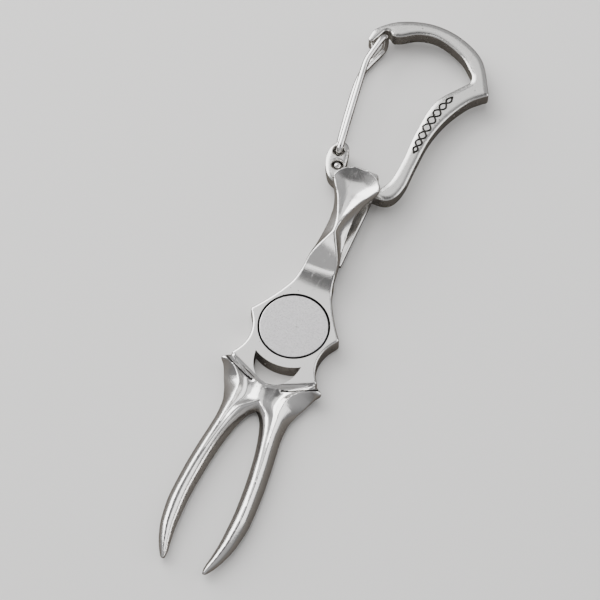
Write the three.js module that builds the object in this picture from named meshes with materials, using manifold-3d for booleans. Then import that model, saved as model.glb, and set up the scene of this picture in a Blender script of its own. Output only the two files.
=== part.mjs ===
// Divot repair tool: a two-pronged fork with a magnetic ball marker, hung from a wire-gate carabiner.
// Millimetres, +Z up. The tool lies face up on a flat surface at z = 0, its length along Y.
// The shapes are drawn about the fork's centre line, with y = 0 under the marker's centre; the last
// section moves the whole tool so that its origin is the middle of its footprint.

import * as THREE from 'three';
import { mergeVertices } from 'three/addons/utils/BufferGeometryUtils.js';
import Module from 'manifold-3d';

const wasm = await Module();
wasm.setup();

// ---------------------------------------------------------------- driving dimensions

const plate = { top: 4.2, bottom: 0, edgeBevel: 0.35 };

const marker = { radius: 7.5, thickness: 1.8, floor: 2.35, pocketRadius: 4.7, pocketDepth: 0.65 };
const seat = { radius: 7.7, floor: 2.3 };
const keeper = { radius: 4.5, thickness: 0.5 };
const magnet = { radius: 4.0, thickness: 1.2, pocketRadius: 4.2, pocketFloor: 0.95 };
const adhesive = { radius: 3.9, thickness: 0.1 };

const wire = { radius: 0.72, topZ: 6.5, bottomZ: 0.8 };
const body = { bottom: 1.6, top: 5.7, bevel: 0.3 };
const bar = { y: 36.0, z: 3.65, width: 2.4, height: 3.6, corner: 0.7, reach: 3.9 };
const gateHoles = { upper: [-7.4, 42.65], lower: [-6.35, 39.35], radius: 1.4 };

const bail = { width: 6.6, thickness: 1.2 };

// ---------------------------------------------------------------- solids and booleans

function solid(geometry) {
  const bare = geometry.index ? geometry.toNonIndexed() : geometry.clone();
  bare.deleteAttribute('normal');
  bare.deleteAttribute('uv');
  const merged = mergeVertices(bare, 1e-5);
  return new wasm.Manifold(new wasm.Mesh({
    numProp: 3,
    vertProperties: new Float32Array(merged.attributes.position.array),
    triVerts: new Uint32Array(merged.index.array),
  }));
}

function geometryOf(manifold) {
  const mesh = manifold.getMesh();
  const geometry = new THREE.BufferGeometry();
  geometry.setAttribute('position', new THREE.BufferAttribute(mesh.vertProperties, 3));
  geometry.setIndex(new THREE.BufferAttribute(mesh.triVerts, 1));
  geometry.computeVertexNormals();
  return geometry;
}

// A closed skin through rings of points. Every ring has the same number of points, in the same order,
// and each end is closed by a fan to the ring's middle.
function loft(rings) {
  const count = rings[0].length;
  const vertices = rings.flat().map((p) => new THREE.Vector3(...p));
  const faces = [];
  for (let r = 0; r + 1 < rings.length; r += 1) {
    for (let k = 0; k < count; k += 1) {
      const a = r * count + k;
      const b = r * count + (k + 1) % count;
      faces.push(a, b, b + count, a, b + count, a + count);
    }
  }
  const closeEnd = (first, forward) => {
    const middle = new THREE.Vector3();
    for (let k = 0; k < count; k += 1) middle.addScaledVector(vertices[first + k], 1 / count);
    vertices.push(middle);
    const centre = vertices.length - 1;
    for (let k = 0; k < count; k += 1) {
      const a = first + k;
      const b = first + (k + 1) % count;
      faces.push(...(forward ? [centre, b, a] : [centre, a, b]));
    }
  };
  closeEnd(0, true);
  closeEnd((rings.length - 1) * count, false);
  const geometry = new THREE.BufferGeometry().setFromPoints(vertices);
  geometry.setIndex(faces);
  return geometry;
}

// A flat outline from the z of its underside to the z of its top, with both rims bevelled.
function slab(shape, bottom, top, bevel, curveSegments = 12) {
  const geometry = new THREE.ExtrudeGeometry(shape, {
    depth: top - bottom - 2 * bevel,
    bevelEnabled: bevel > 0,
    bevelThickness: bevel,
    bevelSize: bevel,
    bevelOffset: -bevel,
    bevelSegments: 2,
    curveSegments,
  });
  return geometry.translate(0, 0, bottom + bevel);
}

function disc(radius, bottom, top, x = 0, y = 0, segments = 48) {
  return new THREE.CylinderGeometry(radius, radius, top - bottom, segments)
    .rotateX(Math.PI / 2)
    .translate(x, y, (top + bottom) / 2);
}

const point = (x, y) => new THREE.Vector2(x, y);

// ---------------------------------------------------------------- fork casting

// The plate under the marker: a waist, a spike, a scallop and a wing on each side.
function plateOutline() {
  const shape = new THREE.Shape();
  shape.moveTo(0, 13);
  shape.lineTo(3.9, 13);
  shape.quadraticCurveTo(4.3, 8.6, 10.2, 0.7);
  shape.quadraticCurveTo(5.8, -5.4, 9.9, -10.6);
  shape.quadraticCurveTo(4.5, -13.6, 0, -15.2);
  shape.quadraticCurveTo(-4.5, -13.6, -9.9, -10.6);
  shape.quadraticCurveTo(-5.8, -5.4, -10.2, 0.7);
  shape.quadraticCurveTo(-4.3, 8.6, -3.9, 13);
  shape.closePath();
  return shape;
}

// The crescent window between the marker's seat and the shoulders.
function crescentOutline() {
  const shape = new THREE.Shape();
  const rim = 9.75;
  const half = Math.asin(4.9 / rim);
  shape.absarc(0, 0, rim, -Math.PI / 2 - half, -Math.PI / 2 + half, false);
  shape.quadraticCurveTo(4.6, -14.2, 0, -14.4);
  shape.quadraticCurveTo(-4.6, -14.2, -4.9, -8.43);
  return shape;
}

// A closed ring at one y, from its right half listed from the middle of the top to the middle of the
// underside.
function mirroredRing(y, half) {
  const left = half.slice(1, -1).reverse().map(([x, z]) => [-x, z]);
  return [...half, ...left].map(([x, z]) => [x, y, z]);
}

// One cross-section of the neck and head: a dished top between two crests, a hollow flute down each
// side, and an underside narrower than the sides.
function neckRing({ y, side, crest, dish, top, flute, sideZ, under, bottom }) {
  return mirroredRing(y, [
    [0, dish],
    [crest, top],
    [crest * 0.35 + side * 0.65, flute],
    [side, sideZ],
    [side * 0.97, sideZ * 0.75 + bottom * 0.25],
    [under, bottom],
    [0, bottom],
  ]);
}

const neckSections = [
  { y: 8.5, side: 5.2, crest: 4.9, dish: 4.2, top: 4.2, flute: 4.1, sideZ: 3.9, under: 4.9, bottom: 0.0 },
  { y: 12.6, side: 3.9, crest: 3.7, dish: 4.8, top: 4.7, flute: 4.5, sideZ: 4.3, under: 3.6, bottom: 0.3 },
  { y: 16.4, side: 3.55, crest: 3.3, dish: 6.3, top: 6.1, flute: 5.5, sideZ: 5.1, under: 3.1, bottom: 1.3 },
  { y: 18.8, side: 2.95, crest: 2.1, dish: 7.4, top: 7.3, flute: 6.0, sideZ: 5.6, under: 2.5, bottom: 2.4 },
  { y: 21.2, side: 2.4, crest: 0.4, dish: 8.4, top: 8.3, flute: 6.6, sideZ: 6.1, under: 2.0, bottom: 3.8 },
  { y: 24.0, side: 2.1, crest: 0.25, dish: 9.1, top: 9.1, flute: 7.2, sideZ: 6.8, under: 1.7, bottom: 5.1 },
  { y: 27.4, side: 2.35, crest: 1.2, dish: 9.2, top: 9.4, flute: 7.9, sideZ: 7.4, under: 1.8, bottom: 6.1 },
  { y: 30.4, side: 3.4, crest: 2.5, dish: 9.0, top: 9.6, flute: 8.5, sideZ: 8.0, under: 2.2, bottom: 6.2 },
  { y: 32.8, side: 4.7, crest: 4.2, dish: 8.8, top: 9.7, flute: 9.2, sideZ: 8.6, under: 2.8, bottom: 6.2 },
  { y: 34.6, side: 5.5, crest: 5.2, dish: 8.9, top: 9.8, flute: 9.5, sideZ: 9.0, under: 3.2, bottom: 6.2 },
  { y: 37.0, side: 4.0, crest: 3.8, dish: 9.4, top: 9.8, flute: 9.6, sideZ: 9.2, under: 2.8, bottom: 6.6 },
  { y: 38.3, side: 1.4, crest: 1.2, dish: 9.7, top: 9.8, flute: 9.7, sideZ: 9.4, under: 1.2, bottom: 7.7 },
];

// One cross-section of the saddle that joins the plate to the prongs: a ridge along each shoulder, a
// hollow dip beside it and a low middle.
function saddleRing({ y, outer, outerZ, ridge, ridgeZ, dip, dipZ, mid, low }) {
  return mirroredRing(y, [
    [0, mid],
    [dip, dipZ],
    [ridge, ridgeZ],
    [outer, outerZ],
    [outer - 0.5, low + 0.5],
    [outer - 1.4, low],
    [0, low],
  ]);
}

const saddleSections = [
  { y: -11.0, outer: 9.7, outerZ: 3.2, ridge: 9.1, ridgeZ: 4.0, dip: 4.6, dipZ: 3.9, mid: 3.9, low: 0.2 },
  { y: -12.0, outer: 11.3, outerZ: 2.9, ridge: 10.2, ridgeZ: 4.3, dip: 5.2, dipZ: 3.7, mid: 3.9, low: 0.2 },
  { y: -14.2, outer: 10.1, outerZ: 2.5, ridge: 7.7, ridgeZ: 4.6, dip: 4.2, dipZ: 3.5, mid: 3.9, low: 0.2 },
  { y: -17.0, outer: 8.9, outerZ: 2.3, ridge: 6.1, ridgeZ: 4.7, dip: 3.2, dipZ: 3.4, mid: 3.6, low: 0.3 },
  { y: -20.1, outer: 7.7, outerZ: 2.3, ridge: 5.3, ridgeZ: 4.7, dip: 2.4, dipZ: 3.2, mid: 2.8, low: 0.4 },
];

// One cross-section of the right prong: outer flank, top ridge, hollow inner flank and flat underside.
function prongRing({ y, inner, outer, ridge, top, side, bottom }) {
  const width = outer - inner;
  const crest = inner + width * ridge;
  return [
    [crest, top],
    [outer, side],
    [outer - 0.25 * width, bottom],
    [inner + 0.25 * width, bottom],
    [inner, side],
    [inner + (crest - inner) * 0.45, side * 0.45 + top * 0.55],
  ].map(([x, z]) => [x, y, z]);
}

const prongSections = [
  { y: -17.0, inner: 0.3, outer: 8.5, ridge: 0.7, top: 4.6, side: 2.2, bottom: 0.4 },
  { y: -20.1, inner: 0.05, outer: 7.6, ridge: 0.69, top: 4.6, side: 2.2, bottom: 0.4 },
  { y: -21.3, inner: 1.1, outer: 7.45, ridge: 0.66, top: 4.6, side: 2.2, bottom: 0.4 },
  { y: -23.6, inner: 2.1, outer: 7.4, ridge: 0.6, top: 4.55, side: 2.2, bottom: 0.4 },
  { y: -27.2, inner: 3.1, outer: 7.75, ridge: 0.55, top: 4.5, side: 2.2, bottom: 0.4 },
  { y: -31.6, inner: 3.9, outer: 8.3, ridge: 0.52, top: 4.4, side: 2.2, bottom: 0.45 },
  { y: -37.8, inner: 4.6, outer: 8.85, ridge: 0.52, top: 4.3, side: 2.2, bottom: 0.55 },
  { y: -44.0, inner: 4.95, outer: 9.05, ridge: 0.52, top: 4.1, side: 2.2, bottom: 0.75 },
  { y: -49.5, inner: 4.85, outer: 8.45, ridge: 0.52, top: 3.7, side: 2.2, bottom: 1.0 },
  { y: -53.8, inner: 4.4, outer: 7.15, ridge: 0.5, top: 3.2, side: 2.1, bottom: 1.2 },
  { y: -56.4, inner: 4.0, outer: 5.85, ridge: 0.5, top: 2.8, side: 2.0, bottom: 1.3 },
  { y: -57.7, inner: 4.15, outer: 4.95, ridge: 0.5, top: 2.3, side: 1.9, bottom: 1.6 },
];

function forkCasting() {
  const rightProng = prongSections.map(prongRing);
  const leftProng = rightProng.map((ring) => ring.map(([x, y, z]) => [-x, y, z]).reverse());
  const metal = [
    slab(plateOutline(), plate.bottom, plate.top, plate.edgeBevel),
    loft(neckSections.map(neckRing)),
    loft(saddleSections.map(saddleRing).reverse()),
    loft(rightProng.reverse()),
    loft(leftProng.reverse()),
  ];
  const cuts = [
    slab(crescentOutline(), plate.bottom - 1, plate.top + 1, 0),
    disc(seat.radius, seat.floor, plate.top + 1),
    disc(magnet.pocketRadius, magnet.pocketFloor, plate.top + 1, 0, 0, 32),
  ];
  const joined = metal.map(solid).reduce((a, b) => a.add(b));
  return geometryOf(cuts.map(solid).reduce((a, b) => a.subtract(b), joined));
}

// ---------------------------------------------------------------- rear bail

// A strap from the underside of the neck, under the carabiner's bar and up to the head's end.
function rearBail() {
  const line = new THREE.SplineCurve([
    point(18.2, 1.45),
    point(24.0, 1.35),
    point(29.5, 0.9),
    point(33.6, 0.66),
    point(36.2, 0.71),
    point(38.4, 1.75),
    point(39.3, 4.2),
    point(38.9, 7.0),
  ]);
  const steps = 26;
  const above = [];
  const below = [];
  for (let i = 0; i <= steps; i += 1) {
    const p = line.getPointAt(i / steps);
    const t = line.getTangentAt(i / steps);
    const normal = point(-t.y, t.x).multiplyScalar(bail.thickness / 2);
    above.push(p.clone().add(normal));
    below.push(p.clone().sub(normal));
  }
  const profile = new THREE.Shape([...below, ...above.reverse()]);
  const ribbon = new THREE.ExtrudeGeometry(profile, { depth: bail.width, bevelEnabled: false });
  // The profile is drawn as (y, z), so its plane turns to stand across X.
  ribbon.applyMatrix4(new THREE.Matrix4().set(0, 0, 1, -bail.width / 2, 1, 0, 0, 0, 0, 1, 0, 0, 0, 0, 0, 1));
  return ribbon;
}

// ---------------------------------------------------------------- marker, keeper, magnet

function ballMarker() {
  const blank = solid(disc(marker.radius, marker.floor, marker.floor + marker.thickness));
  const ceiling = marker.floor + marker.pocketDepth;
  const pocket = solid(disc(marker.pocketRadius, marker.floor - 1, ceiling, 0, 0, 32));
  return geometryOf(blank.subtract(pocket));
}

// ---------------------------------------------------------------- carabiner

// The C-shaped body seen from above: a claw at the nose, a pointed shoulder, a bowed spine, the bar
// that runs through the bail, and the block that holds the gate's ends.
function carabinerOutline() {
  const front = bar.y - bar.width / 2;
  const back = bar.y + bar.width / 2;
  const shape = new THREE.Shape();
  shape.moveTo(-12.5, 72.6);
  shape.splineThru([point(-11.7, 75.5), point(-7.4, 79.2), point(-0.4, 81.3), point(6.7, 80.4),
    point(13.2, 76.6), point(17.7, 68.9)]);
  shape.quadraticCurveTo(17.8, 68.4, 17.0, 68.0);
  shape.splineThru([point(14.3, 65.1), point(11.5, 59.6), point(9.9, 53.5), point(9.45, 47.0),
    point(9.35, 40.8)]);
  shape.bezierCurveTo(9.0, 37.0, 8.0, 34.9, 5.4, front);
  shape.lineTo(-5.0, front);
  shape.splineThru([point(-7.3, 36.1), point(-9.1, 39.2), point(-9.5, 42.4), point(-8.6, 44.7)]);
  shape.bezierCurveTo(-7.8, 45.6, -6.0, 45.4, -5.4, 43.9);
  shape.splineThru([point(-4.85, 41.5), point(-4.5, 39.4), point(-3.6, back)]);
  shape.lineTo(4.4, back);
  shape.splineThru([point(5.9, 40.2), point(6.45, 46.0), point(6.45, 54.0), point(7.6, 62.6),
    point(12.6, 69.9)]);
  shape.quadraticCurveTo(13.2, 70.8, 12.4, 72.3);
  shape.splineThru([point(8.5, 75.8), point(2.6, 78.1), point(-2.0, 77.7), point(-5.8, 75.4)]);
  shape.quadraticCurveTo(-7.1, 74.7, -7.9, 75.2);
  shape.quadraticCurveTo(-8.9, 76.4, -9.8, 75.5);
  shape.lineTo(-11.1, 72.1);
  shape.quadraticCurveTo(-12.1, 71.1, -12.5, 72.6);
  return shape;
}

// Everything around the bar's rounded section, over the length that turns inside the bail.
function barTrim() {
  const w = bar.width / 2;
  const h = bar.height / 2;
  const c = bar.corner;
  const section = new THREE.Shape([
    point(-w, c - h), point(c - w, -h), point(w - c, -h), point(w, c - h),
    point(w, h - c), point(w - c, h), point(c - w, h), point(-w, h - c),
  ]);
  const rod = new THREE.ExtrudeGeometry(section, { depth: 2 * bar.reach + 2, bevelEnabled: false })
    .translate(0, 0, -bar.reach - 1)
    .applyMatrix4(new THREE.Matrix4().set(0, 0, 1, 0, 1, 0, 0, bar.y, 0, 1, 0, bar.z, 0, 0, 0, 1));
  const around = new THREE.BoxGeometry(2 * bar.reach, bar.width + 0.2, bar.height + 2)
    .translate(0, bar.y, bar.z);
  return solid(around).subtract(solid(rod));
}

function carabinerBody() {
  let metal = solid(slab(carabinerOutline(), body.bottom, body.top, body.bevel, 4)).subtract(barTrim());
  for (const [x, y] of [gateHoles.upper, gateHoles.lower]) {
    metal = metal.subtract(solid(disc(gateHoles.radius, body.bottom - 1, body.top + 1, x, y, 28)));
  }
  return geometryOf(metal);
}

// The gate: one wire whose ends turn into the block's two holes, and whose bight closes on the claw.
function wireGate() {
  const [upperX, upperY] = gateHoles.upper;
  const [lowerX, lowerY] = gateHoles.lower;
  const route = new THREE.CatmullRomCurve3([
    new THREE.Vector3(upperX, upperY, 3.2),
    new THREE.Vector3(upperX, upperY, 5.2),
    new THREE.Vector3(upperX + 0.1, upperY + 0.9, wire.topZ),
    new THREE.Vector3(-8.5, 51.9, wire.topZ),
    new THREE.Vector3(-9.85, 61.6, wire.topZ),
    new THREE.Vector3(-10.3, 65.4, wire.topZ),
    new THREE.Vector3(-10.15, 67.9, wire.topZ),
    new THREE.Vector3(-9.4, 72.2, wire.topZ),
    new THREE.Vector3(-8.95, 73.6, wire.topZ - 0.7),
    new THREE.Vector3(-8.85, 73.9, (wire.topZ + wire.bottomZ) / 2),
    new THREE.Vector3(-8.95, 73.4, wire.bottomZ + 0.7),
    new THREE.Vector3(-9.5, 71.8, wire.bottomZ),
    new THREE.Vector3(-10.7, 68.2, wire.bottomZ),
    new THREE.Vector3(-11.1, 65.2, wire.bottomZ),
    new THREE.Vector3(-10.4, 59.5, wire.bottomZ),
    new THREE.Vector3(-8.9, 48.5, wire.bottomZ),
    new THREE.Vector3(-7.6, 41.8, wire.bottomZ),
    new THREE.Vector3(lowerX - 0.15, lowerY + 0.6, wire.bottomZ + 0.25),
    new THREE.Vector3(lowerX, lowerY, wire.bottomZ + 1.3),
    new THREE.Vector3(lowerX, lowerY, body.top - 0.5),
  ], false, 'centripetal');
  const round = new THREE.Shape().absarc(0, 0, wire.radius, 0, 2 * Math.PI);
  return new THREE.ExtrudeGeometry(round, {
    extrudePath: route,
    steps: 72,
    curveSegments: 5,
    bevelEnabled: false,
  });
}

// ---------------------------------------------------------------- assembly

const polished = { color: 0xd9d8d4, roughness: 0.18, metalness: 1 };
const satin = { color: 0xd4d2d0, roughness: 0.45, metalness: 1 };
const steel = { color: 0xa9abad, roughness: 0.35, metalness: 1 };
const nickel = { color: 0xc8c6c0, roughness: 0.25, metalness: 1 };
const resin = { color: 0x8a7f58, roughness: 0.5, metalness: 0 };

const magnetBottom = magnet.pocketFloor + adhesive.thickness;
const keeperTop = marker.floor + marker.pocketDepth;

const tool = new THREE.Group();

function place(name, geometry, look) {
  const mesh = new THREE.Mesh(geometry, new THREE.MeshStandardMaterial(look));
  mesh.name = name;
  tool.add(mesh);
}

place('fork_casting', forkCasting(), polished);
place('rear_bail', rearBail(), polished);
place('magnet_adhesive', disc(adhesive.radius, magnet.pocketFloor, magnetBottom, 0, 0, 24), resin);
place('seat_magnet', disc(magnet.radius, magnetBottom, magnetBottom + magnet.thickness, 0, 0, 28), nickel);
place('ball_marker', ballMarker(), satin);
place('marker_keeper', disc(keeper.radius, keeperTop - keeper.thickness, keeperTop, 0, 0, 28), steel);
place('carabiner_body', carabinerBody(), polished);
place('wire_gate', wireGate(), polished);

// The origin is the middle of the footprint, on the surface that the tool lies on.
const extent = new THREE.Box3().setFromObject(tool);
const middle = extent.getCenter(new THREE.Vector3());
tool.position.set(-middle.x, -middle.y, -extent.min.z);

export default tool;
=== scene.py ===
"""Divot repair tool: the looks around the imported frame.

Shapes are drawn in millimetres about the fork's centre line, with y = 0 under the marker's centre and
z = 0 on the surface that the tool lies on. to_frame() moves them into the frame, in metres.
"""

import math

import bmesh
import bpy
import numpy as np
from mathutils import Matrix, Vector


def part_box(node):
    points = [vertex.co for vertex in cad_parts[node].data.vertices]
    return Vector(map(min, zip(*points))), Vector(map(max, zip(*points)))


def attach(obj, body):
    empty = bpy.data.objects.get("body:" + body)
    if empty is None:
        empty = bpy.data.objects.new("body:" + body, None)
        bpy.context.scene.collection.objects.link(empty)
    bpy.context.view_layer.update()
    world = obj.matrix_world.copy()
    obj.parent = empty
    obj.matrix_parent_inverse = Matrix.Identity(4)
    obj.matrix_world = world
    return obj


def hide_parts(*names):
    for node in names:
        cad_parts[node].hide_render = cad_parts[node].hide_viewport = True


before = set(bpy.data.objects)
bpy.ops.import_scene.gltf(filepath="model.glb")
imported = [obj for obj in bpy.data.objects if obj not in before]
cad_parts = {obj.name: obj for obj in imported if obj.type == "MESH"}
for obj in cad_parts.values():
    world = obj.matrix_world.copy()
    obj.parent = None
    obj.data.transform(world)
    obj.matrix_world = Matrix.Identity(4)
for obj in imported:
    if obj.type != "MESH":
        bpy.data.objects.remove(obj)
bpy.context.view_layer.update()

MM = 0.001
marker_low, marker_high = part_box("ball_marker")
ORIGIN = Vector(((marker_low.x + marker_high.x) / 2, (marker_low.y + marker_high.y) / 2, 0))
SAME_PLACE = 0.02  # outline points nearer to each other than this are one

# ---------------------------------------------------------------- driving dimensions of the fork (mm)

PLATE_TOP = 4.2
PLATE_BOTTOM = 0.03
PLATE_BEVEL = 0.45

SEAT_RADIUS = 7.74
SEAT_FLOOR = 2.3
SEAT_RIM = 0.06  # the bright top of the seat's wall, above its painted shade
CUT_REACH = 1.07  # a cut's facets are looked for within this many of its radii
MAGNET_POCKET_RADIUS = 4.2
MAGNET_POCKET_FLOOR = 0.95

WINDOW_ARC_RADIUS = 9.75
WINDOW_HALF_WIDTH = 5.2

FRONT = 2.6  # points of the plate and its shoulders above this height are on their front
EDGE_WEAR_DEPTH = 0.2  # the worn bevel along the plate's lower edge
EDGE_WEAR_REACH = 0.6
GROOVE_RADIUS = 0.23
GROOVE_SINK = 0.06
GROOVE_STEPS = 60
GROOVE_SEARCH = 0.2  # how far round a place the fork's height is looked for
GROOVE_FIT = 5  # the degree of the curve that is fitted to those heights

LEFT_FLANK = 0.42  # where the neck's left flank is pulled to: 0 is level with its side, 1 with its crest
FORK_VOXEL = 0.16
NECK_STEP = 0.5
PRONG_STEP = 0.8

# Rings of the neck, from the plate to the head.
# y, side, crest, dish z, crest z, flute z, side z, underside half-width, underside z
NECK = [
    (7.2, 5.9, 5.5, 4.2, 4.2, 4.1, 3.9, 5.5, 0.03),
    (9.6, 4.75, 4.4, 4.28, 4.25, 4.1, 3.9, 4.4, 0.03),
    (12.0, 4.0, 3.75, 4.6, 4.55, 4.4, 4.2, 3.7, 0.2),
    (14.2, 3.7, 3.45, 5.2, 5.15, 4.8, 4.6, 3.35, 0.6),
    (15.6, 3.6, 3.3, 5.9, 5.8, 5.3, 5.0, 3.2, 1.0),
    (17.4, 3.4, 2.7, 6.9, 6.8, 5.8, 5.4, 2.9, 1.7),
    (19.0, 3.05, 1.9, 7.65, 7.6, 5.7, 5.7, 2.5, 2.5),
    (21.0, 2.8, 0.8, 8.4, 8.4, 5.9, 6.0, 2.1, 3.6),
    (22.6, 2.65, 0.12, 8.9, 8.9, 6.2, 6.4, 1.8, 4.5),
    (25.0, 2.5, 0.45, 9.1, 9.15, 6.8, 6.9, 1.7, 5.4),
    (27.4, 2.6, 1.3, 9.1, 9.4, 7.5, 7.4, 1.8, 6.1),
    (30.4, 3.4, 2.6, 8.95, 9.55, 8.5, 8.2, 2.2, 6.2),
    (32.8, 4.7, 4.2, 8.8, 9.7, 9.1, 8.7, 2.8, 6.2),
    (34.6, 5.5, 5.15, 8.9, 9.8, 9.5, 9.0, 3.2, 6.2),
    (37.0, 4.0, 3.8, 9.4, 9.8, 9.6, 9.2, 2.8, 6.6),
    (38.3, 1.4, 1.2, 9.7, 9.8, 9.7, 9.4, 1.2, 7.7),
]

# Rings of each half of the saddle and its prong, from the plate to the tip.
# y, inner, outer, bevel line, its z, dip, its z, ridge, its z, side z, underside z,
# and the fullness of the outer flank
PRONG = [
    (-10.8, -1.6, 9.4, 0.0, 4.0, 4.6, 4.0, 8.7, 4.1, 3.6, 0.2, 0.2),
    (-11.6, -1.6, 10.8, 0.0, 4.0, 5.0, 4.0, 9.6, 4.3, 3.7, 0.2, 0.1),
    (-12.3, -1.6, 11.5, 0.0, 4.0, 4.9, 3.8, 9.8, 4.5, 3.6, 0.2, 0.05),
    (-13.0, -1.6, 10.8, 0.0, 3.95, 4.6, 3.65, 8.5, 4.65, 3.0, 0.2, 0.05),
    (-14.2, -1.6, 10.05, 0.0, 3.9, 3.9, 3.4, 7.0, 4.75, 2.2, 0.2, 0.05),
    (-16.2, -1.6, 9.2, 0.0, 3.75, 3.3, 3.15, 5.5, 4.85, 1.7, 0.3, 0.1),
    (-17.8, -1.4, 8.4, 0.0, 3.7, 3.1, 3.15, 5.1, 4.85, 1.6, 0.4, 0.15),
    (-19.0, -1.0, 8.0, 0.6, 3.8, 3.3, 3.3, 5.0, 4.8, 1.6, 0.4, 0.25),
    (-20.2, 0.0, 7.6, 2.1, 4.0, 3.9, 3.5, 5.0, 4.7, 1.6, 0.4, 0.35),
    (-21.4, 1.1, 7.45, 3.2, 4.15, 4.3, 3.8, 5.1, 4.65, 1.5, 0.4, 0.45),
    (-23.6, 2.1, 7.4, 4.1, 4.3, 4.8, 4.1, 5.3, 4.6, 1.5, 0.4, 0.5),
    (-27.2, 3.1, 7.75, 4.9, 4.4, 5.3, 4.3, 5.7, 4.5, 1.4, 0.4, 0.5),
    (-31.6, 3.9, 8.3, 5.7, 4.35, 6.0, 4.3, 6.3, 4.4, 1.4, 0.45, 0.5),
    (-37.8, 4.6, 8.85, 6.5, 4.2, 6.7, 4.2, 6.9, 4.3, 1.4, 0.55, 0.5),
    (-44.0, 4.95, 9.05, 6.8, 4.0, 7.0, 4.0, 7.2, 4.1, 1.5, 0.75, 0.5),
    (-49.5, 4.85, 8.45, 6.5, 3.65, 6.6, 3.65, 6.8, 3.7, 1.6, 1.0, 0.5),
    (-53.8, 4.4, 7.15, 5.6, 3.15, 5.7, 3.15, 5.8, 3.2, 1.7, 1.2, 0.5),
    (-56.4, 4.0, 5.85, 4.8, 2.75, 4.85, 2.75, 4.9, 2.8, 1.7, 1.3, 0.5),
    (-57.7, 4.15, 4.95, 4.5, 2.3, 4.55, 2.3, 4.6, 2.3, 1.8, 1.6, 0.5),
]

# ---------------------------------------------------------------- dimensions of the other pieces (mm)

MARKER_RADIUS = 7.27  # 0.23 less than the CAD's, so that the dark ring round the marker shows: the gap, and the painted shade on the seat's wall and floor in it
MARKER_TOP = 4.15
MARKER_FLOOR = 2.35
MARKER_EDGE = 0.1
MARKER_RIM = 2  # a ring this far inside the edge keeps the face's shading flat
KEEPER_POCKET_RADIUS = 4.7
KEEPER_POCKET_CEILING = 3.0
MAGNET_CHAMFER = 0.15
KEEPER_CHAMFER = 0.1

BODY_BOTTOM = 1.6
BODY_TOP = 5.7
BODY_VOXEL = 0.17
BAR_Y = 36.0
BAR_WIDTH = 2.4
UPPER_HOLE = (-7.4, 42.65)
LOWER_HOLE = (-6.35, 39.35)
HOLE_RADIUS = 1.3
HOLE_CHAMFER = 0.3
HOLE_CHAMFER_DEPTH = 0.25

TOP_ROUND = 0.4
LOW_ROUND = 1.0
ROUND_REACH = 1.3  # how far in from the wall the rounding draws points
WALL_BAND = 0.12  # points nearer to the outline than this are on the wall
FACE_BAND = 0.3  # points less than this below the top are on the face
CROWN = 0.14  # how much lower the face is at its rim than in its middle
CROWN_REACH = 1.4
CLAW_RIGHT, CLAW_FRONT = -7, 70  # the nose claw lies to the left of and beyond this place
CLAW_SHARE = 0.45  # the share of the rounding that it gets, because it is narrow

# A plain two-strand braid engraved along the spine.
BRAID_LINE = [(10.6, 65.0), (9.2, 60.9), (8.35, 56.6), (8.0, 52.2), (7.95, 48.4)]
BRAID_HALF_WIDTH = 0.9
BRAID_WAVES = 4
BRAID_RADIUS = 0.24
BRAID_RISE = 0.02  # height of the first strand's middle line above the face
BRAID_DIP = 0.05  # how much deeper the second strand is cut
BRAID_FADE = 0.35  # how blunt the braid's ends are: 1 is a long taper, 0 is square
BRAID_PHASES = (0, math.pi)

WIRE_RADIUS = 0.72
WIRE_TOP = 6.5
WIRE_LOW = 0.8
WIRE_DOME = 0.6  # height of the wire's domed end, as a share of its radius
UPPER_RUN = [(-8.5, 51.9), (-9.85, 61.6), (-10.3, 65.4), (-10.15, 67.9), (-9.4, 72.2)]
LOWER_RUN = [(-9.5, 71.8), (-10.7, 68.2), (-11.3, 65.2), (-10.9, 59.5), (-9.2, 48.5), (-7.6, 41.8)]

BAIL_WIDTH = 6.6
BAIL_THICKNESS = 1.2
BAIL_CORNER = 0.4
# y and z, from under the neck, round the bar and up to the head
BAIL_LINE = [(18.2, 1.45), (24.0, 1.35), (29.5, 0.9), (33.6, 0.66)]
BAIL_LINE += [(36.2, 0.71), (38.4, 1.75), (39.3, 4.2), (38.9, 7.0)]

# ---------------------------------------------------------------- camera, lights and floor

CAMERA_AZIMUTH = 22.9
CAMERA_ELEVATION = 63.0
CAMERA_DISTANCE = 0.52
CAMERA_LENS = 147.576
SENSOR_WIDTH = 36
AIM_RIGHT = 1.3108  # from the plate's top in the marker's middle to the centre of the view, in millimetres
AIM_UP = 5.4968

# name, azimuth, elevation, distance, width, height, radiance, whether the metal mirrors it
LIGHTS = [
    ("softbox_top", 203, 62, 0.9, 0.5, 0.4, 0.95, True),
    ("softbox_left", 248, 30, 0.9, 0.9, 0.8, 5.0, True),
    ("softbox_front", 330, 73, 0.9, 0.35, 0.14, 2.0, True),
    ("softbox_right", 118, 33, 0.9, 0.6, 0.7, 1.7, True),
    ("fill", 230, 70, 1.2, 1.0, 1.0, 2.6, False),
]
# how high the direction is, from 0 level to 1 overhead, and the grey there
WORLD_GREYS = ((0.0, 0.13), (0.45, 0.42), (0.86, 0.42), (0.97, 0.12))

FLOOR_SIZE = 6
FLOOR_COLOUR = (0.8, 0.79, 0.775, 1)
PAINTED_DARK_FLOOR_REFLECTION = (0.1, 0.09, 0.08, 1)  # painted reflection: the floor's colour for glossy rays only, so the metal mirrors a floor darker than the lit one

# ---------------------------------------------------------------- outlines and curves


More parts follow.
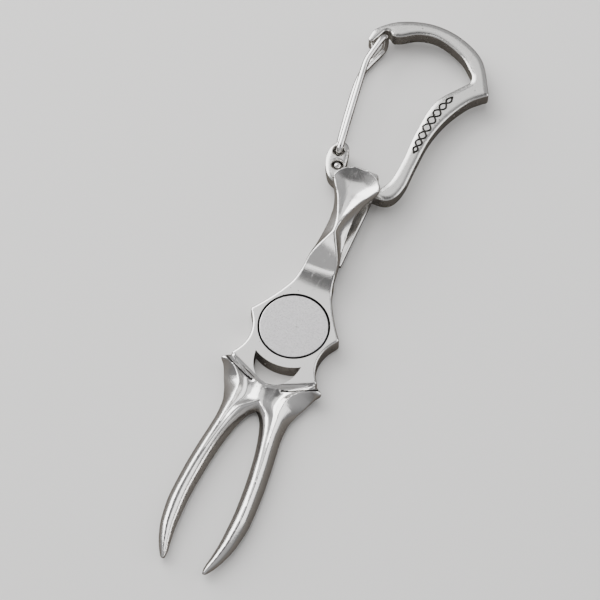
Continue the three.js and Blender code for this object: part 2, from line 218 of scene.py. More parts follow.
def catmull(points, steps):
    """A Catmull-Rom curve through points, with this many steps from each point to the next."""
    p = np.array(points, float)
    p = np.vstack([2 * p[0] - p[1], p, 2 * p[-1] - p[-2]])
    t = np.linspace(0, 1, steps, endpoint=False)[:, None]
    runs = []
    for a, b, c, d in zip(p, p[1:], p[2:], p[3:]):
        leave = (c - a) / 2
        arrive = (d - b) / 2
        square = 3 * (c - b) - 2 * leave - arrive
        cube = 2 * (b - c) + leave + arrive
        runs.append(b + leave * t + square * t**2 + cube * t**3)
    return np.vstack(runs + [p[-2:-1]])


def bend(a, control, b, steps):
    """A quadratic curve from a to just short of b."""
    t = np.linspace(0, 1, steps, endpoint=False)[:, None]
    a, control, b = np.array(a), np.array(control), np.array(b)
    return list((1 - t) ** 2 * a + 2 * t * (1 - t) * control + t * t * b)


class Outline:
    """An outline drawn with lines, quadratic and cubic curves, and splines."""

    def __init__(self, x, y):
        self.points = [np.array([x, y], float)]

    def line(self, x, y):
        self.points.append(np.array([x, y], float))
        return self

    def quad(self, cx, cy, x, y, steps=14):
        a, c, b = self.points[-1], np.array([cx, cy]), np.array([x, y])
        for t in np.linspace(0, 1, steps + 1)[1:]:
            self.points.append((1 - t) ** 2 * a + 2 * t * (1 - t) * c + t * t * b)
        return self

    def cubic(self, c1x, c1y, c2x, c2y, x, y, steps=16):
        a, c, d, b = self.points[-1], np.array([c1x, c1y]), np.array([c2x, c2y]), np.array([x, y])
        for t in np.linspace(0, 1, steps + 1)[1:]:
            u = 1 - t
            self.points.append(u**3 * a + 3 * u * u * t * c + 3 * u * t * t * d + t**3 * b)
        return self

    def spline(self, points, steps=12):
        self.points.extend(catmull([self.points[-1], *points], steps)[1:])
        return self

    def array(self):
        """The points without repeats, and without the first one again at the end."""
        kept = [self.points[0]]
        for point in self.points[1:]:
            if np.linalg.norm(point - kept[-1]) > SAME_PLACE:
                kept.append(point)
        if np.linalg.norm(kept[-1] - kept[0]) < SAME_PLACE:
            kept.pop()
        return np.array(kept)


def smooth_rows(rows, step):
    """Rows of numbers keyed by their first value, filled in at every step without overshoot."""
    rows = np.array(sorted(rows), float)
    keys, values = rows[:, 0], rows[:, 1:]
    gap = np.diff(keys)[:, None]
    slope = np.diff(values, axis=0) / gap
    tangent = np.zeros_like(values)
    same = slope[1:] * slope[:-1] > 0
    total = np.where(same, slope[1:] + slope[:-1], 1)
    tangent[1:-1] = np.where(same, 2 * slope[1:] * slope[:-1] / total, 0)
    tangent[0], tangent[-1] = slope[0], slope[-1]
    filled = []
    for k in range(len(keys) - 1):
        count = max(2, int(round(gap[k, 0] / step)))
        for t in np.linspace(0, 1, count, endpoint=False):
            value = (
                (2 * t**3 - 3 * t**2 + 1) * values[k]
                + (t**3 - 2 * t**2 + t) * gap[k] * tangent[k]
                + (3 * t**2 - 2 * t**3) * values[k + 1]
                + (t**3 - t**2) * gap[k] * tangent[k + 1]
            )
            filled.append((keys[k] + t * gap[k, 0], *value))
    filled.append((keys[-1], *values[-1]))
    return filled


def circle(radius, x=0.0, y=0.0, segments=96):
    turns = np.linspace(0, 2 * math.pi, segments, endpoint=False)
    return [(x + radius * math.cos(a), y + radius * math.sin(a)) for a in turns]


def rounded_box(width, height, corner, steps=4):
    points = []
    for sx, sy, start in ((1, 1, 0), (-1, 1, 90), (-1, -1, 180), (1, -1, 270)):
        for k in range(steps + 1):
            a = math.radians(start + 90 * k / steps)
            x = sx * (width / 2 - corner) + corner * math.cos(a)
            y = sy * (height / 2 - corner) + corner * math.sin(a)
            points.append((x, y))
    return points


def distance_to_line(points, line, closed):
    """Each 2-D point's distance to a polyline, and the nearest place on it."""
    line = np.array(line, float)
    ends = np.roll(line, -1, axis=0) if closed else line[1:]
    starts = line if closed else line[:-1]
    best = np.full(len(points), np.inf)
    place = np.zeros((len(points), 2))
    for start, span in zip(starts, ends - starts):
        t = np.clip(((points - start) @ span) / (span**2).sum(), 0, 1)
        near = start + t[:, None] * span
        distance = np.hypot(*(points - near).T)
        closer = distance < best
        best[closer] = distance[closer]
        place[closer] = near[closer]
    return best, place


def inward_direction(outline, place):
    """The direction into a closed outline at the stretch of it nearest each place."""
    following = np.roll(outline, -1, axis=0)
    tangent = following - outline
    tangent /= np.hypot(*tangent.T)[:, None]
    area = np.sum(outline[:, 0] * following[:, 1] - following[:, 0] * outline[:, 1])
    normal = np.stack([-tangent[:, 1], tangent[:, 0]], 1) * np.sign(area)
    best = np.full(len(place), np.inf)
    inward = np.zeros_like(place)
    for middle, direction in zip((outline + following) / 2, normal):
        distance = np.hypot(*(place - middle).T)
        closer = distance < best
        best[closer] = distance[closer]
        inward[closer] = direction
    return inward


# ---------------------------------------------------------------- meshes


def to_frame(points):
    """Millimetres about the fork's centre line to metres in the frame."""
    return [tuple(Vector(p) * MM + ORIGIN) for p in points]


def linked(name, mesh):
    """A new object in the scene that holds the mesh."""
    piece = bpy.data.objects.new(name, mesh)
    bpy.context.scene.collection.objects.link(piece)
    return piece


def mesh_object(name, points, faces):
    """An object with these points and faces, all turned outwards."""
    mesh = bpy.data.meshes.new(name)
    mesh.from_pydata(to_frame(points), [], faces)
    mesh.validate()
    shell = bmesh.new()
    shell.from_mesh(mesh)
    bmesh.ops.recalc_face_normals(shell, faces=shell.faces)
    shell.to_mesh(mesh)
    shell.free()
    return linked(name, mesh)


def loft(name, rings):
    """A closed skin through rings of points, each end closed by a fan."""
    count = len(rings[0])
    points = [p for ring in rings for p in ring]
    faces = []
    for r in range(len(rings) - 1):
        for k in range(count):
            a, b = r * count + k, r * count + (k + 1) % count
            faces.append((a, b, b + count, a + count))
    for first in (0, (len(rings) - 1) * count):
        points.append(tuple(np.mean(np.array(points[first : first + count]), axis=0)))
        hub = len(points) - 1
        faces.extend((hub, first + k, first + (k + 1) % count) for k in range(count))
    return mesh_object(name, points, faces)


def prism(name, outline, bottom, top):
    """A flat outline pulled straight up."""
    count = len(outline)
    points = [(x, y, z) for z in (bottom, top) for x, y in outline]
    faces = [(k, (k + 1) % count, count + (k + 1) % count, count + k) for k in range(count)]
    faces.append(tuple(range(count)))
    faces.append(tuple(range(count, 2 * count)))
    return mesh_object(name, points, faces)


def lathe(name, profile, x=0.0, y=0.0, segments=96):
    """A profile of (radius, z) from the axis out and back to it, turned about a vertical axis."""
    rings = [[(px, py, z) for px, py in circle(max(r, 0.01), x, y, segments)] for r, z in profile]
    return loft(name, rings)


def sweep(name, line, section, widths=None):
    """A section carried along a 3-D line without twisting, with both ends closed."""
    line = np.array(line, float)
    tangents = np.gradient(line, axis=0)
    tangents /= np.linalg.norm(tangents, axis=1)[:, None]
    upright = abs(tangents[0][2]) >= 0.9
    side = np.cross(tangents[0], (1, 0, 0) if upright else (0, 0, 1))
    side /= np.linalg.norm(side)
    rings = []
    for k, (point, tangent) in enumerate(zip(line, tangents)):
        side = side - tangent * np.dot(side, tangent)
        side /= np.linalg.norm(side)
        up = np.cross(side, tangent)
        scale = 1 if widths is None else widths[k]
        rings.append([tuple(point + side * u * scale + up * v * scale) for u, v in section])
    return loft(name, rings)


def applied(piece):
    """Makes the modifiers of the piece real."""
    graph = bpy.context.evaluated_depsgraph_get()
    mesh = bpy.data.meshes.new_from_object(piece.evaluated_get(graph))
    piece.modifiers.clear()
    piece.data = mesh
    return piece


def cut(piece, tool):
    """Takes the tool's shape out of the piece."""
    modifier = piece.modifiers.new("cut", "BOOLEAN")
    modifier.operation = "DIFFERENCE"
    modifier.solver = "EXACT"
    modifier.object = tool
    applied(piece)
    bpy.data.objects.remove(tool)


def merged(name, parts):
    """One object that holds the meshes of parts."""
    shell = bmesh.new()
    for part in parts:
        shell.from_mesh(part.data)
        bpy.data.objects.remove(part)
    mesh = bpy.data.meshes.new(name)
    shell.to_mesh(mesh)
    shell.free()
    return linked(name, mesh)


def remeshed(piece, voxel):
    """The piece with one even skin round all that it holds."""
    modifier = piece.modifiers.new("remesh", "REMESH")
    modifier.mode = "VOXEL"
    modifier.voxel_size = voxel * MM
    return applied(piece)


def vertex_array(piece):
    """The vertices in millimetres about the fork's centre line."""
    places = np.zeros(len(piece.data.vertices) * 3)
    piece.data.vertices.foreach_get("co", places)
    return (places.reshape(-1, 3) - np.array(ORIGIN)) / MM


def set_vertices(piece, points):
    places = points * MM + np.array(ORIGIN)
    piece.data.vertices.foreach_set("co", places.ravel())
    piece.data.update()


def relax(piece, rounds):
    """Laplacian smoothing, which rounds edges over about the spacing of the mesh times root rounds."""
    points = vertex_array(piece)
    edges = np.zeros(len(piece.data.edges) * 2, int)
    piece.data.edges.foreach_get("vertices", edges)
    a, b = edges.reshape(-1, 2).T
    degree = np.bincount(np.concatenate([a, b]), minlength=len(points))[:, None]
    for _ in range(rounds):
        total = np.zeros_like(points)
        np.add.at(total, a, points[b])
        np.add.at(total, b, points[a])
        points = 0.5 * points + 0.5 * total / degree
    set_vertices(piece, points)


def shade(piece, degrees):
    """Smooth shading, with edges sharper than this angle kept sharp."""
    mesh = piece.data
    mesh.polygons.foreach_set("use_smooth", [True] * len(mesh.polygons))
    shell = bmesh.new()
    shell.from_mesh(mesh)
    for edge in shell.edges:
        edge.smooth = len(edge.link_faces) == 2 and edge.calc_face_angle(0) < math.radians(degrees)
    shell.to_mesh(mesh)
    shell.free()
    return piece


# ---------------------------------------------------------------- fork


def plate_outline():
    shape = Outline(-3.9, 13).line(3.9, 13)
    shape.quad(4.3, 8.6, 9.7, 1.2).quad(10.35, 0.75, 9.95, 0.1, 5)
    shape.quad(5.8, -5.4, 9.9, -10.6).quad(4.5, -13.6, 0, -15.2)
    shape.quad(-4.5, -13.6, -9.9, -10.6).quad(-5.8, -5.4, -9.95, 0.1)
    shape.quad(-10.35, 0.75, -9.7, 1.2, 5).quad(-4.3, 8.6, -3.9, 13)
    return shape.array()


def window_outline():
    """The crescent under the marker: an arc about the marker's middle, closed by two curves."""
    half = math.asin(WINDOW_HALF_WIDTH / WINDOW_ARC_RADIUS)
    turns = np.linspace(-math.pi / 2 - half, -math.pi / 2 + half, 25)
    arc = [(WINDOW_ARC_RADIUS * math.cos(a), WINDOW_ARC_RADIUS * math.sin(a)) for a in turns]
    shape = Outline(*arc[0])
    for x, y in arc[1:]:
        shape.line(x, y)
    shape.quad(4.5, -14.3, 0, -14.45)
    shape.quad(-4.5, -14.3, -WINDOW_HALF_WIDTH, -8.25)
    return shape.array()


def neck_ring(row):
    """A ring of the neck: the scoop on top, a fluted flank on the right and a flat one on the left."""
    y, side, crest, dish, top, flute, side_z, under, bottom = row
    flat = side_z + (top - side_z) * LEFT_FLANK

    def half(control):
        t = np.linspace(0, 1, 9, endpoint=False)
        points = [(crest * s, dish + (top - dish) * s**2) for s in t]
        points += bend((crest, top), (crest * 0.35 + side * 0.65, control), (side, side_z), 9)
        points += bend((side, side_z), (side * 0.98, side_z * 0.5 + bottom * 0.5), (under, bottom), 6)
        return points + [(under * s, bottom) for s in (1, 0.66, 0.33, 0)]

    left = [(-x, z) for x, z in half(flat)[1:-1]][::-1]
    return [(x, y, z) for x, z in [*half(flute), *left]]


def prong_ring(row):
    """A ring of a prong: from the ridge down the outer flank, under, up to the bevel line and the dip."""
    y, inner, outer, line, line_z, dip, dip_z, ridge, ridge_z, side, low, fullness = row
    foot = 0.3 * (outer - inner)
    reach = 0.5 + fullness / 2
    flank = (ridge + (outer - ridge) * reach, side + (ridge_z - side) * reach)
    ring = bend((ridge, ridge_z), flank, (outer, side), 12)
    ring += bend((outer, side), (outer, low), (outer - foot, low), 6)
    ring += bend((outer - foot, low), ((inner + outer) / 2, low), (inner + foot, low), 4)
    ring += bend((inner + foot, low), (inner, low), (inner, side), 6)
    ring += bend((inner, side), (inner * 0.55 + line * 0.45, line_z - 0.35), (line, line_z), 8)
    steps = np.linspace(0, 1, 8, endpoint=False)
    for t in steps:
        fall = (1 - math.cos(math.pi * t)) / 2
        ring.append((line + (dip - line) * t, line_z + (dip_z - line_z) * fall))
    for t in steps:
        ring.append((dip + (ridge - dip) * t, dip_z + (ridge_z - dip_z) * t * t))
    return [(x, y, z) for x, z in ring]


def plate_slab():
    slab = prism("plate", plate_outline(), PLATE_BOTTOM, PLATE_TOP)
    modifier = slab.modifiers.new("bevel", "BEVEL")
    modifier.width = PLATE_BEVEL * MM
    modifier.segments = 3
    modifier.limit_method = "ANGLE"
    modifier.angle_limit = math.radians(50)
    return applied(slab)


def wear_plate_edge(fork):
    """The worn bevel along the plate's lower edge."""
    points = vertex_array(fork)
    for side in (-1, 1):
        edge = Outline(10.9, -10.3).quad(6.8, -13.1, 3.4, -14.4).array() * (side, 1)
        distance, _ = distance_to_line(points[:, :2], edge, False)
        drop = EDGE_WEAR_DEPTH * np.clip(1 - (distance / EDGE_WEAR_REACH) ** 2, 0, 1) ** 1.5
        above = points[:, 2] > FRONT
        points[above, 2] -= drop[above]
    set_vertices(fork, points)


def groove_line(fork, side):
    """The middle line of the groove that parts the plate from one shoulder, just under the surface."""
    points = vertex_array(fork)
    points = points[points[:, 2] > FRONT]
    line = Outline(12.3, -10.9).quad(7.2, -13.75, 3.4, -14.5, GROOVE_STEPS).array() * (side, 1)
    height = np.full(len(line), np.nan)
    for k, place in enumerate(line):
        near = np.hypot(*(points[:, :2] - place).T) < GROOVE_SEARCH
        if near.any():
            height[k] = points[near, 2].max()
    known = ~np.isnan(height)
    steps = np.arange(len(line))
    rise = np.polyfit(steps[known], height[known], GROOVE_FIT)
    low, high = steps[known][[0, -1]]
    return np.column_stack([line, np.polyval(rise, np.clip(steps, low, high)) - GROOVE_SINK])


def make_fork():
    """The fork, and the middle lines of its two grooves, which run out over their last sixths."""
    right = [prong_ring(row) for row in smooth_rows(PRONG, PRONG_STEP)]
    left = [[(-x, y, z) for x, y, z in ring][::-1] for ring in right]
    parts = [
        plate_slab(),
        loft("neck", [neck_ring(row) for row in smooth_rows(NECK, NECK_STEP)]),
        loft("prong_right", right),
        loft("prong_left", left),
    ]
    fork = remeshed(merged("fork", parts), FORK_VOXEL)
    relax(fork, 3)
    wear_plate_edge(fork)
    relax(fork, 2)

    grooves = []
    for side in (-1, 1):
        line = groove_line(fork, side)
        taper = np.clip(6 * (1 - np.linspace(0, 1, len(line))), 0.05, 1) ** 0.6
        cut(fork, sweep("groove", line, circle(GROOVE_RADIUS, segments=12), taper))
        grooves.append(line)

    above = PLATE_TOP + 2
    cut(fork, prism("window", window_outline(), -1, above))
    cut(fork, prism("seat", circle(SEAT_RADIUS), SEAT_FLOOR, above))
    cut(fork, prism("pocket", circle(MAGNET_POCKET_RADIUS), MAGNET_POCKET_FLOOR, PLATE_TOP))
    return shade(fork, 40), grooves


# ---------------------------------------------------------------- carabiner


def carabiner_outline():
    front, back = BAR_Y - BAR_WIDTH / 2, BAR_Y + BAR_WIDTH / 2
    shape = Outline(-12.5, 72.6)
    shape.spline([(-11.7, 75.5), (-7.4, 79.2), (-0.4, 81.3), (6.7, 80.4), (13.2, 76.6), (17.7, 68.9)])
    shape.quad(17.8, 68.4, 17.0, 68.0, 5)
    shape.spline([(14.3, 65.1), (11.5, 59.6), (9.9, 53.5), (9.45, 47.0), (9.35, 40.8)])
    shape.cubic(9.0, 37.0, 8.0, 34.9, 5.4, front)
    shape.line(-5.0, front)
    shape.spline([(-7.3, 36.1), (-9.1, 39.2), (-9.5, 42.4), (-8.6, 44.7)])
    shape.cubic(-7.8, 45.6, -6.0, 45.4, -5.4, 43.9)
    shape.spline([(-4.85, 41.5), (-4.5, 39.4), (-3.6, back)])
    shape.line(4.4, back)
    shape.spline([(5.9, 40.2), (6.45, 46.0), (6.45, 54.0), (7.6, 62.6), (12.6, 69.9)])
    shape.quad(13.2, 70.8, 12.4, 72.3, 6)
    shape.spline([(8.5, 75.8), (2.6, 78.1), (-2.0, 77.7), (-5.8, 75.4)])
    shape.quad(-7.1, 74.7, -7.9, 75.2, 6)
    shape.quad(-8.9, 76.4, -9.8, 75.5, 8)
    shape.line(-11.1, 72.1)
    shape.quad(-12.1, 71.1, -12.5, 72.6, 8)
    return shape.array()


def round_rims(body, outline):
    """Rounds the upper and lower rims by drawing the walls in, and crowns the face a little."""
    points = vertex_array(body)
    distance, place = distance_to_line(points[:, :2], outline, True)
    inward = points[:, :2] - place
    length = np.maximum(np.hypot(*inward.T), 1e-6)
    step = np.zeros(len(points))
    for radius, gap in ((TOP_ROUND, BODY_TOP - points[:, 2]), (LOW_ROUND, points[:, 2] - BODY_BOTTOM)):
        rise = np.clip(radius - gap, 0, radius)
        step = np.maximum(step, radius - np.sqrt(radius**2 - rise**2))
    claw = (points[:, 0] < CLAW_RIGHT) & (points[:, 1] > CLAW_FRONT)
    step = np.where(claw, step * CLAW_SHARE, step)
    off_wall = (distance > WALL_BAND)[:, None]
    inside = np.where(off_wall, inward / length[:, None], inward_direction(outline, place))
    share = np.clip(1 - distance / ROUND_REACH, 0, 1)
    points[:, :2] += inside * (step * share)[:, None]
    crown = CROWN * np.clip(1 - distance / CROWN_REACH, 0, 1) ** 2
    top = points[:, 2] > BODY_TOP - FACE_BAND
    points[top, 2] -= crown[top]
    set_vertices(body, points)


def hole_tool(x, y):
    """What a gate hole takes out of the block: a bore with a chamfered upper rim."""
    wide = HOLE_RADIUS + HOLE_CHAMFER
    profile = [
        (0.01, BODY_BOTTOM - 1),
        (HOLE_RADIUS, BODY_BOTTOM - 1),
        (HOLE_RADIUS, BODY_TOP - HOLE_CHAMFER_DEPTH),
        (wide, BODY_TOP + 0.02),
        (wide, BODY_TOP + 1),
        (0.01, BODY_TOP + 1),
    ]
    return lathe("hole", profile, x, y, 48)


def braid_path(phase):
    """The middle line of one strand of the engraved braid."""
    middle = catmull(BRAID_LINE, 30)
    along = np.gradient(middle, axis=0)
    along /= np.hypot(*along.T)[:, None]
    across = np.stack([along[:, 1], -along[:, 0]], 1)
    share = np.linspace(0, 1, len(middle))
    fade = np.sin(np.pi * share) ** BRAID_FADE
    sway = BRAID_HALF_WIDTH * np.sin(2 * np.pi * BRAID_WAVES * share + phase) * fade
    path = middle + across * sway[:, None]
    height = BODY_TOP + BRAID_RISE - BRAID_DIP * (phase > 0) * fade
    return np.column_stack([path, height])


def make_carabiner():
    outline = carabiner_outline()
    body = remeshed(prism("carabiner", outline, BODY_BOTTOM, BODY_TOP), BODY_VOXEL)
    round_rims(body, outline)
    relax(body, 1)
    for x, y in (UPPER_HOLE, LOWER_HOLE):
        cut(body, hole_tool(x, y))
    for phase in BRAID_PHASES:
        cut(body, sweep("strand", braid_path(phase), circle(BRAID_RADIUS, segments=8)))
    return shade(body, 50)


# ---------------------------------------------------------------- bail, gate, marker and discs


def make_bail():
    path = [(0, y, z) for y, z in catmull(BAIL_LINE, 10)]
    section = rounded_box(BAIL_WIDTH, BAIL_THICKNESS, BAIL_CORNER)
    return shade(sweep("bail_strap", path, section), 50)


def make_gate():
    """The bent wire, from inside the upper hole, round the nose and down into the lower hole."""
    upper_x, upper_y = UPPER_HOLE
    lower_x, lower_y = LOWER_HOLE
    route = [(upper_x, upper_y, 3.2), (upper_x, upper_y, 5.2), (upper_x + 0.1, upper_y + 0.9, WIRE_TOP)]
    route += [(x, y, WIRE_TOP) for x, y in UPPER_RUN]
    route += [(-8.95, 73.6, WIRE_TOP - 0.7), (-8.85, 73.9, (WIRE_TOP + WIRE_LOW) / 2)]
    route += [(-8.95, 73.4, WIRE_LOW + 0.7)]
    route += [(x, y, WIRE_LOW) for x, y in LOWER_RUN]
    route += [(lower_x - 0.15, lower_y + 0.6, WIRE_LOW + 0.25), (lower_x, lower_y, WIRE_LOW + 1.3)]
    route += [(lower_x, lower_y, BODY_TOP - 0.7)]
    line = catmull(route, 12)
    domes = [(share, math.sqrt(1 - share**2)) for share in (0.4, 0.7, 0.88, 0.97, 0.995)]
    end = [line[-1] + (0, 0, WIRE_RADIUS * WIRE_DOME * share) for share, _ in domes]
    widths = [1.0] * len(line) + [width for _, width in domes]
    gate = sweep("gate_wire", np.vstack([line, *end]), circle(WIRE_RADIUS, segments=20), widths)
    return shade(gate, 60)


def make_marker():
    radius, edge = MARKER_RADIUS, MARKER_EDGE
    profile = [
        (0, MARKER_TOP),
        (radius - MARKER_RIM, MARKER_TOP),
        (radius - edge, MARKER_TOP),
        (radius - edge * 0.3, MARKER_TOP - edge * 0.3),
        (radius, MARKER_TOP - edge),
        (radius, MARKER_FLOOR + edge),
        (radius - edge, MARKER_FLOOR),
        (KEEPER_POCKET_RADIUS, MARKER_FLOOR),
        (KEEPER_POCKET_RADIUS, KEEPER_POCKET_CEILING),
        (0, KEEPER_POCKET_CEILING),
    ]
    return shade(lathe("marker_disc", profile, segments=128), 15)


def make_disc(node, name, chamfer):
    """A chamfered disc that fills the box of one of the frame's nodes."""
    low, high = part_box(node)
    radius, bottom, top = (high.x - low.x) / 2 / MM, low.z / MM, high.z / MM
    profile = [
        (0, top),
        (radius - chamfer, top),
        (radius, top - chamfer),
        (radius, bottom + chamfer),
        (radius - chamfer, bottom),
        (0, bottom),
    ]
    return shade(lathe(name, profile), 15)


# ---------------------------------------------------------------- materials


def new_material(name, metallic):
    """A material, its node tree and its surface shader."""
    material = bpy.data.materials.new(name)
    material.use_nodes = True
    tree = material.node_tree
    surface = tree.nodes["Principled BSDF"]
    surface.inputs["Metallic"].default_value = metallic
    return material, tree, surface


def feed(tree, value, socket):
    """Links value to the socket if it is a node's output, or else sets it there."""
    if isinstance(value, bpy.types.NodeSocket):
        tree.links.new(value, socket)
    else:
        socket.default_value = value


def noise(tree, scale, detail, stretch=(1, 1, 1), turn=0.0):
    """Noise that is fixed to the object, with about this many waves per metre."""
    place = tree.nodes.new("ShaderNodeTexCoord").outputs["Object"]
    mapping = tree.nodes.new("ShaderNodeMapping")
    mapping.inputs["Scale"].default_value = stretch
    mapping.inputs["Rotation"].default_value = (0, 0, turn)
    tree.links.new(place, mapping.inputs["Vector"])
    texture = tree.nodes.new("ShaderNodeTexNoise")
    texture.inputs["Scale"].default_value = scale
    texture.inputs["Detail"].default_value = detail
    tree.links.new(mapping.outputs["Vector"], texture.inputs["Vector"])
    return texture.outputs["Fac"]


def spread(tree, value, low, high, from_low=0.3, from_high=0.7):
    """Maps value from one range onto another, and holds it there."""
    ranged = tree.nodes.new("ShaderNodeMapRange")
    ranged.inputs["From Min"].default_value = from_low
    ranged.inputs["From Max"].default_value = from_high
    ranged.inputs["To Min"].default_value = low
    ranged.inputs["To Max"].default_value = high
    tree.links.new(value, ranged.inputs["Value"])
    return ranged.outputs["Result"]


def maths(tree, operation, a, b):
    node = tree.nodes.new("ShaderNodeMath")
    node.operation = operation
    feed(tree, a, node.inputs[0])
    feed(tree, b, node.inputs[1])
    return node.outputs[0]


def mixed(tree, a, b, factor):
    """A colour that goes from a to b as factor goes from 0 to 1."""
    node = tree.nodes.new("ShaderNodeMix")
    node.data_type = "RGBA"
    feed(tree, a, node.inputs["A"])
    feed(tree, b, node.inputs["B"])
    feed(tree, factor, node.inputs["Factor"])
    return node.outputs["Result"]


def dimmed(colour, share):
    return (*[c * share for c in colour], 1)


TARNISH = (0.09, 0.08, 0.07, 1)
BUMP_HEIGHT = 0.00002
SCRATCH_STRETCH = (1, 0.06, 1)  # noise drawn out along y, before it is turned


def silver(name, colour, rough, grain, scratches):
    """Silver: roughness that varies softly, fine scratches, small pits, and tarnish left in hollows."""
    material, tree, surface = new_material(name, 1)
    cloudy = noise(tree, scale=260, detail=3)
    fine = noise(tree, scale=2600, detail=4)
    pits = spread(tree, noise(tree, scale=1300, detail=1), 1, 0.2, 0.765, 0.785)
    one_way = spread(tree, noise(tree, 900, 5, SCRATCH_STRETCH, turn=0.5), 0, 1, 0.62, 0.7)
    other_way = spread(tree, noise(tree, 900, 5, SCRATCH_STRETCH, turn=-0.9), 0, 1, 0.64, 0.72)
    streaks = maths(tree, "MAXIMUM", one_way, other_way)

    soft = spread(tree, cloudy, rough * 0.92, rough * 1.12)
    roughness = maths(tree, "ADD", soft, spread(tree, fine, -0.15 * rough, 0.15 * rough))
    roughness = maths(tree, "ADD", roughness, maths(tree, "MULTIPLY", streaks, 0.1))
    tree.links.new(roughness, surface.inputs["Roughness"])

    hollow = tree.nodes.new("ShaderNodeNewGeometry").outputs["Pointiness"]
    clean = maths(tree, "MULTIPLY", spread(tree, hollow, 0.35, 1, 0.42, 0.492), pits)
    grains = spread(tree, fine, 0, 1, 0.35, 0.6)
    speckle = mixed(tree, dimmed(colour, 1 - 0.22 * grain), dimmed(colour, 1), grains)
    tree.links.new(mixed(tree, TARNISH, speckle, clean), surface.inputs["Base Color"])

    bump = tree.nodes.new("ShaderNodeBump")
    bump.inputs["Distance"].default_value = BUMP_HEIGHT
    bump.inputs["Strength"].default_value = 1
    marks = maths(tree, "MULTIPLY", streaks, -scratches)
    tree.links.new(maths(tree, "ADD", maths(tree, "MULTIPLY", fine, grain), marks), bump.inputs["Height"])
    tree.links.new(bump.outputs["Normal"], surface.inputs["Normal"])
    return material


def plain(name, colour, rough, metallic):
    """A quiet finish whose tone and roughness vary together, in noise fitted to the piece's box."""
    material, tree, surface = new_material(name, metallic)
    texture = tree.nodes.new("ShaderNodeTexNoise")
    texture.inputs["Scale"].default_value = 1800
    grain = texture.outputs["Fac"]
    tone = mixed(tree, dimmed(colour, 0.82), dimmed(colour, 1), grain)
    tree.links.new(tone, surface.inputs["Base Color"])
    roughness = spread(tree, grain, rough * 0.7, rough * 1.3, 0, 1)
    tree.links.new(roughness, surface.inputs["Roughness"])
    return material


# ---------------------------------------------------------------- pieces in the frame


def finish_piece(piece, body, node, slot, *materials):
    """Gives the piece its materials and its body, and hides the frame's node that it stands for. The slot
    is not used.
    """
    piece.data.materials.clear()
    for material in materials:
        piece.data.materials.append(material)
    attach(piece, body)
    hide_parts(node)


def paint_oxide_and_shade(piece, chosen):
    """Gives the faces that chosen(x, y, z) picks the piece's second material: near-black, as oxide and as
    painted shade.
    """
    for face in piece.data.polygons:
        if chosen(*((face.center - ORIGIN) / MM)):
            face.material_index = 1


def seat_painted_shade(x, y, z):
    """Picks the seat's wall, below its bright rim, and the seat's floor: the places that get painted
    shade.
    """
    return math.hypot(x, y) < SEAT_RADIUS + SAME_PLACE and SEAT_FLOOR - 0.1 < z < PLATE_TOP - SEAT_RIM


def near_line(line, radius):
    """Picks places on a round cut of this radius along a line."""

    def chosen(x, y, z):
        return np.min(np.linalg.norm(line - np.array((x, y, z)), axis=1)) < radius * CUT_REACH

    return chosen


polished = silver("polished_silver", (0.94, 0.925, 0.905), 0.17, 0.12, 0.25)
satin = silver("satin_silver", (0.9, 0.88, 0.89), 0.3, 0.9, 0.1)
tumbled = silver("tumbled_silver", (0.8, 0.79, 0.765), 0.22, 0.3, 0.3)
# near-black silver: oxide, and the painted shade of the seat and the grooves
oxide_and_painted_shade = plain("dark_oxide_and_painted_shade", (0.03, 0.028, 0.025), 0.5, 0.6)
nickel = plain("nickel_plate", (0.7, 0.68, 0.64), 0.25, 1)
steel = plain("plain_steel", (0.5, 0.5, 0.5), 0.4, 1)
epoxy = plain("epoxy", (0.5, 0.42, 0.22), 0.35, 0)

fork, grooves = make_fork()
finish_piece(fork, "fork", "fork_casting", "polished_silver", polished, oxide_and_painted_shade)
# painted shade: the seat's wall and floor are made near-black, for the shade in the gap round the marker
paint_oxide_and_shade(fork, seat_painted_shade)
# painted shade: the grooves' faces are made near-black, for the dark line of shade along each groove
for line in grooves:
    paint_oxide_and_shade(fork, near_line(line, GROOVE_RADIUS))
finish_piece(make_bail(), "fork", "rear_bail", "polished_silver", polished)
finish_piece(make_marker(), "marker", "ball_marker", "satin_silver", satin)
carabiner = make_carabiner()
finish_piece(carabiner, "carabiner", "carabiner_body", "polished_silver", tumbled, oxide_and_painted_shade)
# the braid's cut faces are made near-black, which darkens the engraved lines
for phase in BRAID_PHASES:
    paint_oxide_and_shade(carabiner, near_line(braid_path(phase), BRAID_RADIUS))
finish_piece(make_gate(), "gate", "wire_gate", "polished_silver", polished)

magnet = make_disc("seat_magnet", "magnet_disc", MAGNET_CHAMFER)
finish_piece(magnet, "fork", "seat_magnet", "nickel_plate", nickel)
keeper = make_disc("marker_keeper", "keeper_disc", KEEPER_CHAMFER)
finish_piece(keeper, "marker", "marker_keeper", "plain_steel", steel)
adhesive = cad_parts["magnet_adhesive"].data
adhesive.materials.clear()
adhesive.materials.append(epoxy)

# ---------------------------------------------------------------- stage


def direction(azimuth, elevation):
    """The unit vector from the tool towards this azimuth and elevation, in degrees."""
    a, e = math.radians(azimuth), math.radians(elevation)
    return Vector((math.sin(a) * math.cos(e), -math.cos(a) * math.cos(e), math.sin(e)))


def make_floor():
    """A pale floor that glossy rays from the metal see dark: a painted dark reflection."""
    bpy.ops.mesh.primitive_plane_add(size=FLOOR_SIZE, location=(0, 0, 0))
    floor = bpy.context.object
    floor.name = "floor"
    material, tree, surface = new_material("floor", 0)
    surface.inputs["Roughness"].default_value = 0.9
    # painted reflection: glossy rays see the floor dark, so the metal mirrors a darker floor than the
    # camera sees
    glossy_ray = tree.nodes.new("ShaderNodeLightPath").outputs["Is Glossy Ray"]
    tone = mixed(tree, FLOOR_COLOUR, PAINTED_DARK_FLOOR_REFLECTION, glossy_ray)
    tree.links.new(tone, surface.inputs["Base Color"])
    floor.data.materials.append(material)


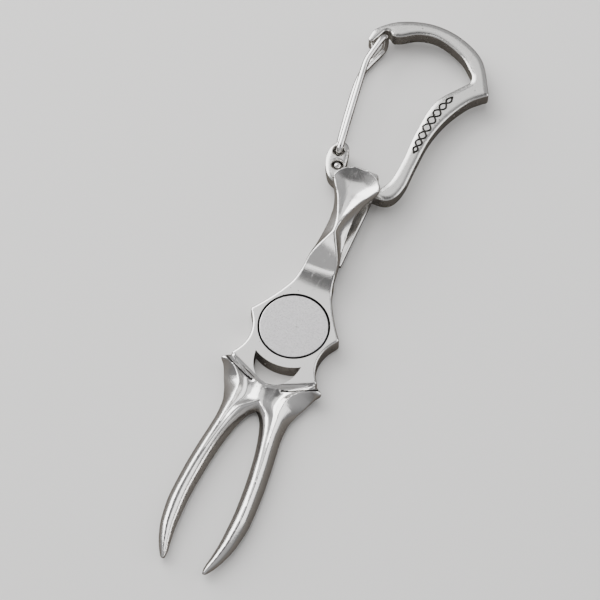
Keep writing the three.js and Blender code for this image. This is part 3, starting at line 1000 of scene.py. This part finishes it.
def make_camera():
    back = direction(CAMERA_AZIMUTH, CAMERA_ELEVATION)
    a = math.radians(CAMERA_AZIMUTH)
    right = Vector((math.cos(a), math.sin(a), 0))
    up = back.cross(right)
    aim = ORIGIN + Vector((0, 0, PLATE_TOP * MM))
    aim += (right * AIM_RIGHT + up * AIM_UP) * MM
    data = bpy.data.cameras.new("camera")
    data.sensor_width = SENSOR_WIDTH
    data.lens = CAMERA_LENS
    data.clip_start = 0.01
    camera = bpy.data.objects.new("camera", data)
    turn = Matrix((right, up, back)).transposed().to_4x4()
    camera.matrix_world = Matrix.Translation(aim + back * CAMERA_DISTANCE) @ turn
    bpy.context.scene.collection.objects.link(camera)
    bpy.context.scene.camera = camera


def make_light(name, azimuth, elevation, distance, width, height, radiance, mirrored):
    """A softbox that faces the middle of the tool."""
    back = direction(azimuth, elevation)
    data = bpy.data.lights.new(name, "AREA")
    data.shape = "RECTANGLE"
    data.size, data.size_y = width, height
    data.energy = radiance * math.pi * width * height
    light = bpy.data.objects.new(name, data)
    light.location = back * distance
    light.rotation_euler = back.to_track_quat("Z", "Y").to_euler()
    light.visible_glossy = mirrored
    bpy.context.scene.collection.objects.link(light)


def make_world():
    """Soft grey overhead that falls to dark near the horizon, which gives the metal its dark lines."""
    world = bpy.data.worlds.new("studio")
    world.use_nodes = True
    nodes, links = world.node_tree.nodes, world.node_tree.links
    place = nodes.new("ShaderNodeTexCoord").outputs["Generated"]
    split = nodes.new("ShaderNodeSeparateXYZ")
    links.new(place, split.inputs["Vector"])
    ramp = nodes.new("ShaderNodeValToRGB")
    while len(ramp.color_ramp.elements) < len(WORLD_GREYS):
        ramp.color_ramp.elements.new(0.5)
    for element, (height, grey) in zip(ramp.color_ramp.elements, WORLD_GREYS):
        element.position = height
        element.color = (grey, grey, grey * 1.02, 1)
    links.new(split.outputs["Z"], ramp.inputs["Fac"])
    links.new(ramp.outputs["Color"], nodes["Background"].inputs["Color"])
    bpy.context.scene.world = world


make_floor()
make_camera()
for row in LIGHTS:
    make_light(*row)
make_world()
